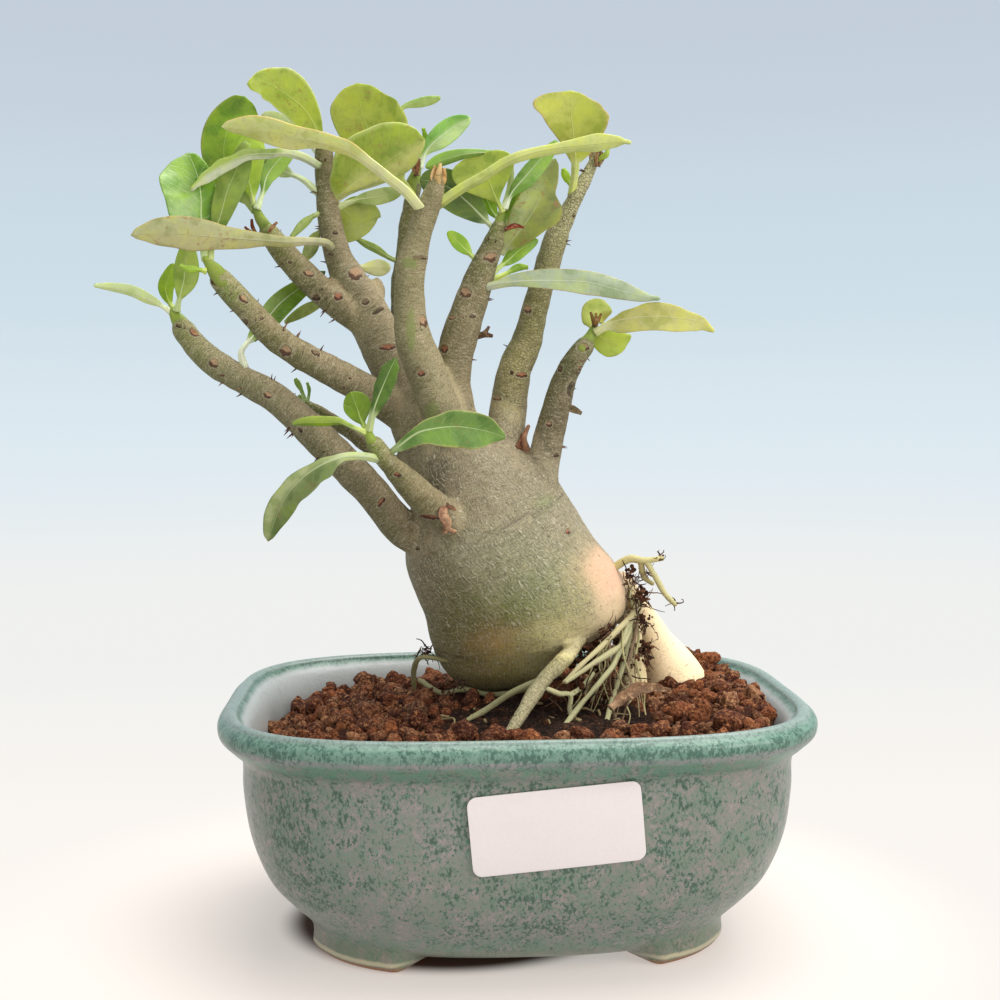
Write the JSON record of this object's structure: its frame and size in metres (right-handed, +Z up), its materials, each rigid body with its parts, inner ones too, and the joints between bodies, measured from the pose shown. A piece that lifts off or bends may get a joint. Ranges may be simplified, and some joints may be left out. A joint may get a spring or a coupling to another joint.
{
  "type": "potted desert rose plant",
  "caption": "Potted desert rose: a leaning swollen caudex with bare upright branches and small leaf tufts, in a glazed rounded bonsai pot filled with grit.",
  "frame": {"origin": "middle of the footprint box of the whole plant and pot, on the surface the pot stands on", "axes": "+Z up; +X to the viewer's right along the pot's long side; the pot's labelled front faces -Y"},
  "size_m": [0.1774, 0.1244, 0.2182],
  "materials": {
    "glaze": "gloss, mottled sea green",
    "paper": "matt, blank",
    "peat": "matt, crumbly",
    "granules": "matt, porous",
    "bark": "satin, finely wrinkled",
    "green_leaf": "semi-gloss",
    "dry_leaf": "matt, dry"
  },
  "bodies": {
    "root": {"caudex_and_branches": "bark", "dry_leaf": "dry_leaf", "grit": "granules", "label": "paper", "leaf_behind_1": "green_leaf", "leaf_front_1": "green_leaf", "leaf_front_2": "green_leaf", "leaf_low_left_1": "green_leaf", "leaf_middle_1": "green_leaf", "leaf_middle_2": "green_leaf", "leaf_middle_3": "green_leaf", "leaf_middle_4": "green_leaf", "leaf_middle_5": "green_leaf", "leaf_right_1": "green_leaf", "leaf_right_2": "green_leaf", "leaf_right_3": "green_leaf", "leaf_short_1": "green_leaf", "leaf_short_2": "green_leaf", "leaf_stem_1": "green_leaf", "leaf_stem_10": "green_leaf", "leaf_stem_11": "green_leaf", "leaf_stem_12": "green_leaf", "leaf_stem_2": "green_leaf", "leaf_stem_3": "green_leaf", "leaf_stem_4": "green_leaf", "leaf_stem_5": "green_leaf", "leaf_stem_6": "green_leaf", "leaf_stem_7": "green_leaf", "leaf_stem_8": "green_leaf", "leaf_stem_9": "green_leaf", "leaf_upper_left_1": "green_leaf", "pot": "glaze", "potting_mix": "peat", "tuft_behind_1": "green_leaf", "tuft_behind_2": "green_leaf", "tuft_low_left": "green_leaf", "tuft_low_right": "green_leaf", "tuft_mid_left": "green_leaf", "tuft_middle": "green_leaf", "tuft_short": "green_leaf", "tuft_twig": "green_leaf", "tuft_upper_left": "green_leaf"}
  },
  "joints": []
}
